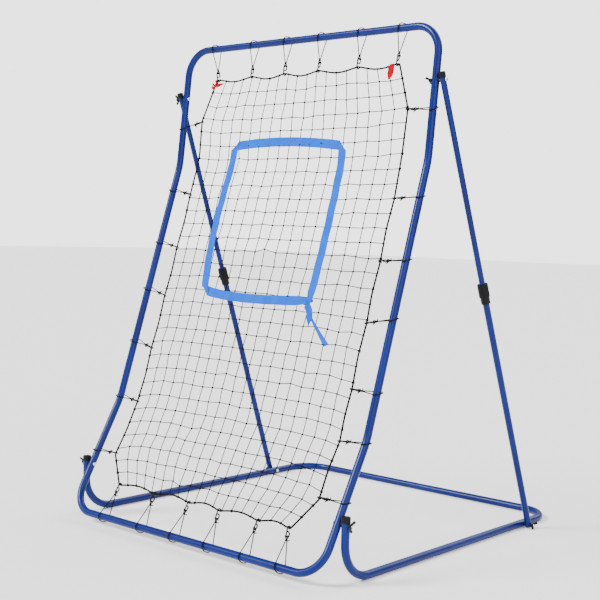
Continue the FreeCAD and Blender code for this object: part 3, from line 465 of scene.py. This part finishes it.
def evenly(points, step, closed=False):
    # the same route with its points spaced evenly.
    if closed:
        points = np.vstack([points, points[:1]])
    gaps = np.linalg.norm(np.diff(points, axis=0), axis=1)
    far = np.concatenate([[0], np.cumsum(gaps)])
    count = max(2, int(round(far[-1] / step)))
    at = np.linspace(0, far[-1], count + 1)
    if closed:
        at = at[:-1]
    return np.stack([np.interp(at, far, points[:, axis]) for axis in range(points.shape[1])], -1)


borderArcs = roundedRoute(onNet(turningPoints[:, 0], turningPoints[:, 1]), turningPoints[:, 2])
ropePath = evenly(borderArcs.reshape(-1, 3), border["step"], True)
ropeAlong = np.interp(ropePath[:, 2], profileZ, profileAlong)
ropeUp = forwardAt(ropeAlong)


def twisted(path, settings):
    # radii of a laid rope: rounded strands that wind round it.
    length = np.arange(len(path)) * settings["step"]
    turns = round(length[-1] / settings["lay"])
    lay = np.linspace(0, turns * 2 * np.pi, len(path), endpoint=False)
    turn = np.linspace(0, 2 * np.pi, settings["sides"], endpoint=False)
    strand = np.abs(np.cos((turn[None] * settings["strands"] - lay[:, None]) / 2))
    return settings["ropeRadius"] * (0.80 + 0.22 * np.sqrt(strand))


ropePart = tube(ropePath, ropeUp, twisted(ropePath, border), border["sides"], True)
print("rope route", len(ropePath))


# the knotted net
netShape = {
    "columns": 20, "rows": 32,
    "cornerFade": 0.26, "edgeFade": 0.075, "scallopFade": 0.050,
    "wander": 0.0016, "pulled": 0.010, "pulledShare": 0.02, "crossingLift": 0.0005,
    "twine": 0.0015, "cellSteps": 4, "sides": 5,
    "knot": (0.0040, 0.0036, 0.0030), "tie": (0.0052, 0.0046, 0.0044),
}


def sideStart(name):
    starts = {"top": 0, "right": len(sides["top"]), "bottom": len(sides["top"]) + len(sides["right"]),
              "left": len(turningPoints) - len(sides["left"])}
    return starts[name]


def sideLine(name, count, backwards=False):
    # even places along one side of the rope, as (X, distance up the profile).
    first = sideStart(name)
    size = len(sides[name])
    arcs = borderArcs[first:first + size]
    if name in ("left", "right"):
        corners = borderArcs[[first - 1, (first + size) % len(borderArcs)]]
        line = np.vstack([corners[0][6:], arcs.reshape(-1, 3), corners[1][:7]])
    else:
        line = np.vstack([arcs[0][6:], arcs[1:-1].reshape(-1, 3), arcs[-1][:7]])
    line = evenly(line, np.linalg.norm(np.diff(line, axis=0), axis=1).sum() / (count - 1))
    flat = np.stack([line[:, 0], np.interp(line[:, 2], profileZ, profileAlong)], -1)
    return flat[::-1] if backwards else flat


def netNodes(settings):
    # the net's knots as a grid of (X, distance up the profile), held by the rope all round.
    columns, rows = settings["columns"], settings["rows"]
    top = sideLine("top", columns)
    bottom = sideLine("bottom", columns, True)
    left = sideLine("left", rows)
    right = sideLine("right", rows, True)
    u = np.linspace(0, 1, columns)[None, :, None]
    v = np.linspace(0, 1, rows)[:, None, None]
    low, high = border["bottom"] + 0.008, border["top"] - 0.010
    wide = border["side"] - 0.004
    plain = np.concatenate([(u * 2 - 1) * wide + v * 0, low + (high - low) * v + u * 0], -1)
    width, height = 2 * wide, high - low

    def fade(share, size, acrossX, acrossS):
        return np.exp(-share * size / np.array([acrossX, acrossS]))

    corner, edge, scallop = settings["cornerFade"], settings["edgeFade"], settings["scallopFade"]
    fromLeft, fromRight = fade(u, width, corner, edge), fade(1 - u, width, corner, edge)
    fromLow, fromHigh = fade(v, height, corner, scallop), fade(1 - v, height, corner, scallop)
    off = {"left": left[:, None] - plain[:, :1], "right": right[:, None] - plain[:, -1:],
           "low": bottom[None] - plain[:1], "high": top[None] - plain[-1:]}
    moved = plain + fromLeft * off["left"] + fromRight * off["right"]
    moved += fromLow * (off["low"] - fromLeft * off["low"][:, :1] - fromRight * off["low"][:, -1:])
    moved += fromHigh * (off["high"] - fromLeft * off["high"][:, :1] - fromRight * off["high"][:, -1:])
    inner = moved[1:-1, 1:-1]
    inner += seeded.normal(0, settings["wander"], inner.shape)
    odd = seeded.random(inner.shape[:2]) < settings["pulledShare"]
    inner[odd] += seeded.uniform(-1, 1, (odd.sum(), 2)) * settings["pulled"]
    moved[0], moved[-1], moved[:, 0], moved[:, -1] = bottom, top, left, right
    return moved


def netLines(nodes, settings):
    # points along every twine, cell by cell, raised or lowered where the twines cross at the knots.
    steps = settings["cellSteps"]
    share = np.linspace(0, 1, steps, endpoint=False)
    lines = []
    for grid, lift in ((nodes, 1), (nodes.swapaxes(0, 1), -1)):
        low, high = grid[:, :-1, None], grid[:, 1:, None]
        smooth = low * (1 - share)[:, None] + high * share[:, None]
        smooth = smooth.reshape(len(grid), -1, 2)
        smooth = np.concatenate([smooth, grid[:, -1:]], 1)
        crossing = np.cos(np.arange(smooth.shape[1]) * np.pi / steps) ** 8
        for line in smooth[1:-1]:
            raised = onNet(line[:, 0], line[:, 1], lift * settings["crossingLift"] * crossing)
            lines.append((raised, forwardAt(line[:, 1])))
    return lines


def surfaceAxes(x, along):
    # across, up and forward directions of the net's surface at these places.
    forward = forwardAt(along)
    across = np.broadcast_to([1.0, 0, 0], forward.shape)
    return np.stack([across, np.cross(forward, across), forward], -2)


nodes = netNodes(netShape)
netParts = [tube(path, up, netShape["twine"], netShape["sides"])
            for path, up in netLines(nodes, netShape)]
knotX, knotAlong = nodes[1:-1, 1:-1].reshape(-1, 2).T
knotAxes = surfaceAxes(knotX, knotAlong)
netParts.append(blobs(onNet(knotX, knotAlong), knotAxes, netShape["knot"], 4, 6))
net = makeMesh("net", netParts, twine)
seatOnFrame(net, "net_twine", "net_panel")

rim = np.vstack([nodes[0], nodes[-1], nodes[1:-1, 0], nodes[1:-1, -1]])
tieSizes = np.array(netShape["tie"]) * seeded.uniform(0.8, 1.15, (len(rim), 1))
ties = blobs(onNet(rim[:, 0], rim[:, 1]), surfaceAxes(rim[:, 0], rim[:, 1]), tieSizes, 5, 8)
rope = makeMesh("border_rope_laid", [ropePart, ties], ropeYarn)
seatOnFrame(rope, "rope", "border_rope")
print("net made", len(net.data.polygons), "rope", len(rope.data.polygons))


# elastic loops between the tubes and the hooks
elastic = {
    "tubeStations": {
        "top": (-0.425, -0.232, -0.076, 0.079, 0.248, 0.412),
        "right": (0.228, 0.413, 0.564, 0.793, 0.978, 1.180, 1.457),
        "bottom": (-0.393, -0.203, -0.048, 0.107, 0.262, 0.410),
        "left": (0.218, 0.427, 0.633, 0.828, 1.003, 1.204, 1.434),
    },
    "radius": 0.0017, "clear": 0.0156, "spread": 0.010, "step": 0.003, "sides": 8,
    "knotHeight": 0.036, "ringHeight": 0.0285, "ring": 0.0047, "wraps": 2.6, "wrapRadius": 0.0025,
    "wrapPitch": 0.0028, "end": 0.009,
}


# one loop: from its knot round the tube and back, as three tangent arcs joined by straight runs
def elasticLoop(tubePlace, tubeWay, ropePlace, settings):
    toward = unitRows(tubePlace - ropePlace)
    along = np.interp(ropePlace[2], profileZ, profileAlong)
    across = unitRows(np.cross(toward, forwardAt(along)))
    ahead = np.cross(across, toward)
    knot = ropePlace + toward * settings["knotHeight"]
    inward = unitRows(np.cross(tubeWay, ahead))
    inward *= np.sign(inward @ (knot - tubePlace))
    distance = (knot - tubePlace) @ inward
    clear, spread = settings["clear"], settings["spread"]
    rise = (distance + clear) * math.tan(math.asin(clear / distance))
    far = tubePlace - inward * clear
    pinch = settings["radius"] * 1.1
    apex = knot - toward * (pinch * distance / clear - pinch)
    corners = [apex, far + ahead * rise - tubeWay * spread, far - ahead * rise + tubeWay * spread]
    route = roundedRoute(corners, [pinch, clear * 1.05, clear * 1.05], 16).reshape(-1, 3)
    route = evenly(route, settings["step"], True)
    return tube(route, across, settings["radius"], settings["sides"], True), knot, toward, across, ahead


# the knot: a short helix wound round both strands, with its two cut ends splayed out
def elasticKnot(knot, toward, across, ahead, settings):
    turn = np.linspace(0, settings["wraps"] * 2 * np.pi, int(settings["wraps"] * 12))[:, None]
    climb = (turn / (2 * np.pi) - settings["wraps"] / 2) * settings["wrapPitch"]
    swing = across * np.cos(turn) + ahead * np.sin(turn)
    helix = knot + swing * settings["wrapRadius"] * (1 - 0.25 * np.cos(turn * 2)) + toward * climb
    lean = np.linspace(0, settings["end"], 5)[:, None]
    start = helix[0] + (swing[0] * 0.8 - toward) * lean[::-1]
    finish = helix[-1] + (swing[-1] * 0.9 - toward * 0.5) * lean
    route = np.vstack([start[:-1], helix, finish[1:]])
    return tube(route, toward * 0.8 + across * 0.6, settings["radius"] * 0.95, settings["sides"])


# the ring through the hook's eye: a small circle square to the net
def elasticRing(ropePlace, toward, ahead, settings):
    turn = np.linspace(0, 2 * np.pi, 18, endpoint=False)[:, None]
    across = np.cross(toward, ahead)
    centre = ropePlace + toward * settings["ringHeight"]
    circle = centre + (toward * np.cos(turn) + across * np.sin(turn)) * settings["ring"]
    return tube(circle, ahead, settings["radius"], settings["sides"], True)


def makeElastic(side, settings):
    first, size = sideStart(side), len(sides[side])
    bends = borderArcs[first:first + size][::2]
    if side in ("right", "bottom"):
        bends = bends[::-1]
    stations = np.array(settings["tubeStations"][side])
    if side in ("top", "bottom"):
        tubePlaces = onNet(stations, profileLength if side == "top" else 0.0)
        ways = np.broadcast_to([1.0, 0, 0], tubePlaces.shape)
    else:
        tubePlaces = onNet(profileShape["halfWidth"] * (1 if side == "right" else -1), stations)
        ways = np.cross(forwardAt(stations), [1.0, 0, 0])
    parts = []
    for bend, tubePlace, way in zip(bends, tubePlaces, ways):
        pull = tubePlace - bend.mean(0)
        ropePlace = bend[np.argmax(bend @ pull)]
        loop, knot, toward, across, ahead = elasticLoop(tubePlace, way, ropePlace, settings)
        parts.append(loop)
        parts.append(elasticKnot(knot, toward, across, ahead, settings))
        parts.append(elasticRing(ropePlace, toward, ahead, settings))
    piece = makeMesh("elastic_" + side, parts, elasticYarn)
    return seatOnFrame(piece, "elastic_cord", "elastic_loops_" + side)


for side in sides:
    makeElastic(side, elastic)
print("elastic loops made")


# ribbons
zoneRibbon = {
    "corners": ((-0.275, 1.361), (0.214, 1.350), (0.216, 0.826), (-0.262, 0.836)),
    "bows": ((-0.030, 1.370), (0.222, 1.080), (-0.080, 0.818), (-0.288, 1.050)),
    "half": 0.016, "lift": 0.0028, "wave": 0.0009, "cell": 0.0475, "step": 0.004, "columns": 9,
    "layer": 0.0006, "crease": 0.0012, "flatEnd": 0.04, "pinch": 0.75, "pinchRuns": (0.05, 0.07),
}


def strip(centre, half, lift, columns, turned=None):
    # a flat strip on the net's surface along (X, up the profile) points. Its UVs are in metres.
    centre = np.asarray(centre, float)
    way = unitRows(np.gradient(centre, axis=0))
    square = np.stack([-way[:, 1], way[:, 0]], -1)
    across = np.linspace(-1, 1, columns)
    half = np.broadcast_to(half, (len(centre), columns)) * across
    shift = np.zeros((len(centre), columns)) if turned is None else turned
    flat = centre[:, None] + square[:, None] * half[..., None] + way[:, None] * shift[..., None]
    lift = np.broadcast_to(np.asarray(lift, float), flat.shape[:2])
    points = onNet(flat[..., 0], flat[..., 1], lift)
    faces = gridFaces(len(centre), columns)
    far = np.concatenate([[0], np.cumsum(np.linalg.norm(np.diff(centre, axis=0), axis=1))])
    uv = np.stack([half, far[:, None] + shift], -1).reshape(-1, 2)[faces]
    return points.reshape(-1, 3), faces, uv


def bowed(start, middle, end, step):
    # points of a gentle bow through three places.
    start, middle, end = (np.array(place) for place in (start, middle, end))
    count = max(8, int(np.linalg.norm(end - start) / step))
    t = np.linspace(0, 1, count)[:, None]
    control = 2 * middle - (start + end) / 2
    return (1 - t) ** 2 * start + 2 * t * (1 - t) * control + t ** 2 * end


def makeZone(settings):
    # the target: four runs that lie on the front of the net, each folded over the next at its corner.
    parts = []
    corners = settings["corners"]
    half = settings["half"]
    for index, (corner, bow) in enumerate(zip(corners, settings["bows"])):
        following = corners[(index + 1) % 4]
        line = bowed(corner, bow, following, settings["step"])
        way = unitRows(np.gradient(line, axis=0))
        line = np.vstack([line[:1] - way[:1] * half, line, line[-1:] + way[-1:] * half])
        line = evenly(line, settings["step"])
        far = np.arange(len(line)) * settings["step"]
        left = far[-1] - far
        across = np.linspace(-1, 1, settings["columns"])[None]
        share = far[:, None] / far[-1]
        # both ends are cut at 45 degrees, where the ribbon folds over itself
        slant = half * (1 + across) * (1 - 2 * share)
        width = np.full((len(line), settings["columns"]), half)
        if index == 1:
            near = np.clip(1 - left / settings["pinchRuns"][0], 0, 1)[:, None]
            width *= 1 - settings["pinch"] * near ** 1.5
            slant *= 1 - share
        if index == 2:
            near = np.clip(1 - far / settings["pinchRuns"][1], 0, 1)[:, None]
            width *= 1 - settings["pinch"] * near ** 1.5
            slant *= share
        position = line[:, 0] if index % 2 == 0 else line[:, 1]
        wave = settings["wave"] * np.cos(np.pi * position / settings["cell"] + 0.6 * index)
        layer = settings["layer"] * (1 if index % 2 else -1)
        ends = np.clip(np.minimum(far, left) / settings["flatEnd"], 0, 1)
        lift = settings["lift"] + wave * ends + layer
        crease = settings["crease"] * (1 - width / half) * np.cos(across * 3 * np.pi)
        parts.append(strip(line, width, lift[:, None] + crease, settings["columns"], slant))
    return parts


zone = makeMesh("strike_zone", makeZone(zoneRibbon), blueRibbon)
seatOnFrame(zone, "blue_ribbon", "strike_zone_ribbon")
print("ribbon made")


tieShape = {
    "knot": (0.204, 0.817), "knotSize": (0.011, 0.008, 0.006), "lift": 0.0045,
    "leaf": ((0.206, 0.812), (0.232, 0.790), (0.238, 0.748)), "leafHalf": 0.0125,
    "tail": ((0.214, 0.806), (0.262, 0.752), (0.324, 0.688)), "tailHalf": 0.0125, "columns": 7,
}


def makeTie(settings):
    # the knot at the target's lower right corner, its short folded end and its long narrow tail.
    knot = np.array(settings["knot"])
    centre = onNet(*knot, settings["lift"])[None]
    parts = [blobs(centre, surfaceAxes(knot[:1], knot[1:]), settings["knotSize"], 8, 14)]
    across = np.linspace(-1, 1, settings["columns"])[None]
    leaf = bowed(*settings["leaf"], 0.003)
    t = np.linspace(0, 1, len(leaf))[:, None]
    wide = settings["leafHalf"] * np.clip(0.45 + 1.6 * np.sin(np.pi * t ** 0.8) - 0.5 * t, 0.12, 1)
    fold = settings["lift"] + 0.004 * np.sin(np.pi * t) + 0.0015 * np.cos(across * 2 * np.pi)
    parts.append(strip(leaf, wide + across * 0, fold, settings["columns"], 0.006 * t * np.abs(across)))
    tail = bowed(*settings["tail"], 0.003)
    t = np.linspace(0, 1, len(tail))[:, None]
    wide = settings["tailHalf"] * (0.34 + 0.5 * t ** 3)
    fold = settings["lift"] + 0.0035 * np.sin(np.pi * t * 1.4)
    fold = fold + 0.0022 * np.cos(across * 2 * np.pi) * (1 - t)
    parts.append(strip(tail, wide + across * 0, fold, settings["columns"], 0.004 * across * t ** 6))
    return parts


tie = makeMesh("target_tie", makeTie(tieShape), blueRibbon)
seatOnFrame(tie, "blue_ribbon", "ribbon_tie")


# the red ribbons tied on the border rope, as (X, distance up the profile) places
markerShape = {
    "half": 0.008, "columns": 5, "step": 0.003, "wrap": 0.0050, "wrapRipple": 0.0006, "wrapSteps": 25,
    "left": ((-0.424, 1.578), (-0.398, 1.582), (-0.364, 1.590)),
    "leftTail": ((-0.418, 1.590), (-0.404, 1.582), (-0.412, 1.570)),
    "leftWrap": (-0.404, 1.598), "leftTailLift": 0.0075,
    "rightX": 0.382, "right": ((0.381, 1.578), (0.370, 1.568)),
    "rightLifts": (0.0048, 0.0020),
}


def wrapped(x, along, way, settings):
    # a turn of ribbon round the border rope at this place.
    centre = onNet(x, along)
    way = unitRows(onNet(x + way[0] * 0.01, along + way[1] * 0.01) - centre)
    out = forwardAt(along)
    square = np.cross(way, out)
    turn = np.linspace(0, 2 * np.pi, settings["wrapSteps"])[:, None, None]
    across = np.linspace(-1, 1, settings["columns"])[None, :, None] * settings["half"] * 0.8
    reach = settings["wrap"] + settings["wrapRipple"] * np.cos(turn * 3 + across * 500)
    points = centre + out * np.cos(turn) * reach + square * np.sin(turn) * reach + way * across
    faces = gridFaces(settings["wrapSteps"], settings["columns"])
    spread = np.broadcast_to(across, points.shape[:2] + (1,))
    uv = np.concatenate([spread, turn * settings["wrap"] + across * 0], -1)
    return points.reshape(-1, 3), faces, uv.reshape(-1, 2)[faces]


def ropeNear(x, side):
    # the border rope's distance up the profile at this X, on its top side.
    near = (np.abs(ropePath[:, 0] - x) < 0.02) & (ropeAlong > side)
    order = np.argsort(ropePath[near, 0])
    return np.interp(x, ropePath[near, 0][order], ropeAlong[near][order])


def makeLeftMarker(settings):
    # a bow with a waist, a short tail over it and a turn round the rope
    columns = settings["columns"]
    line = bowed(*settings["left"], settings["step"])
    waist = np.cos(np.linspace(0, 3 * np.pi, len(line)))[:, None]
    width = settings["half"] * (0.55 + 0.25 * waist) + np.zeros((1, columns))
    lift = 0.0040 + 0.0030 * np.sin(np.linspace(0, np.pi, len(line)))[:, None]
    tail = bowed(*settings["leftTail"], settings["step"])
    return [strip(line, width, lift, columns),
            strip(tail, settings["half"] * 0.5, settings["leftTailLift"], columns),
            wrapped(*settings["leftWrap"], (0.4, -0.9), settings)]


def makeRightMarker(settings):
    # a wide flat end that hangs from its turn round the rope
    x = settings["rightX"]
    ropeAt = ropeNear(0.384, 1.5)
    line = bowed((x, ropeAt), *settings["right"], settings["step"])
    lift = np.linspace(*settings["rightLifts"], len(line))[:, None]
    return [strip(line, settings["half"] * 1.5, lift, settings["columns"]),
            wrapped(x, ropeAt, (1.0, 0.15), settings)]


leftMarker = makeMesh("left_marker_tied", makeLeftMarker(markerShape), redRibbon)
seatOnFrame(leftMarker, "red_ribbon", "left_corner_marker")

rightMarker = makeMesh("right_marker_folded", makeRightMarker(markerShape), redRibbon)
seatOnFrame(rightMarker, "red_ribbon", "right_corner_marker")
print("ties and markers made")


# floor, light and camera
studio = {
    "floor": 80.0, "floorTone": (0.96, 0.96, 0.965), "world": 0.6, "backdrop": 3.0,
    "camera": (2.5887, -2.4510, 1.0098), "look": (-0.65545, 0.75288, -0.05974), "roll": 0.0296,
    "lens": 68.84,
    "lights": (
        ("key", (-2.6, -3.4, 4.6), 20.0, 5.2),
        ("fill", (4.2, -1.6, 3.0), 60.0, 2.2),
        ("back", (0.5, 4.5, 5.0), 50.0, 2.2),
    ),
}


def makeFloor(settings):
    bpy.ops.mesh.primitive_plane_add(size=settings["floor"], location=(0, 0, 0))
    floor = bpy.context.object
    floor.name = "floor"
    made = Finish("pale_floor", {"Roughness": 0.9})
    cloud = made.noise(made.place(), 0.6, 2.0)
    made.feed({"Base Color": made.mix(cloud * 0.1, settings["floorTone"], (0.9, 0.9, 0.92))})
    floor.data.materials.append(made.material)


def makeLights(settings):
    world = bpy.data.worlds.new("studio")
    bpy.context.scene.world = world
    world.use_nodes = True
    tree = world.node_tree
    backdrop = tree.nodes["Background"]
    backdrop.inputs["Color"].default_value = (1, 1, 1, 1)
    # the backdrop is seen brighter than it lights the object
    seen = tree.nodes.new("ShaderNodeLightPath")
    strength = tree.nodes.new("ShaderNodeMapRange")
    strength.inputs["To Min"].default_value = settings["world"]
    strength.inputs["To Max"].default_value = settings["backdrop"]
    tree.links.new(seen.outputs["Is Camera Ray"], strength.inputs["Value"])
    tree.links.new(strength.outputs["Result"], backdrop.inputs["Strength"])
    # wide soft lamps far off, so that the floor is evenly lit
    for name, where, spread, strength in settings["lights"]:
        data = bpy.data.lights.new(name, "SUN")
        data.angle, data.energy = math.radians(spread), strength
        lamp = bpy.data.objects.new(name, data)
        lamp.location = where
        lamp.rotation_mode = "QUATERNION"
        lamp.rotation_quaternion = (Vector((0, 0.6, 0.8)) - Vector(where)).to_track_quat("-Z", "Y")
        bpy.context.scene.collection.objects.link(lamp)


def makeCamera(settings):
    data = bpy.data.cameras.new("camera")
    data.lens, data.sensor_width = settings["lens"], 36.0
    data.clip_end = 60.0
    camera = bpy.data.objects.new("camera", data)
    look = Vector(settings["look"]).normalized()
    level = look.cross(Vector((0, 0, 1))).normalized()
    lift = level.cross(look)
    roll = settings["roll"]
    right = level * math.cos(roll) + lift * math.sin(roll)
    top = lift * math.cos(roll) - level * math.sin(roll)
    turned = Matrix((right, top, -look)).transposed().to_4x4()
    turned.translation = settings["camera"]
    camera.matrix_world = turned
    bpy.context.scene.collection.objects.link(camera)
    bpy.context.scene.camera = camera


makeFloor(studio)
makeLights(studio)
makeCamera(studio)
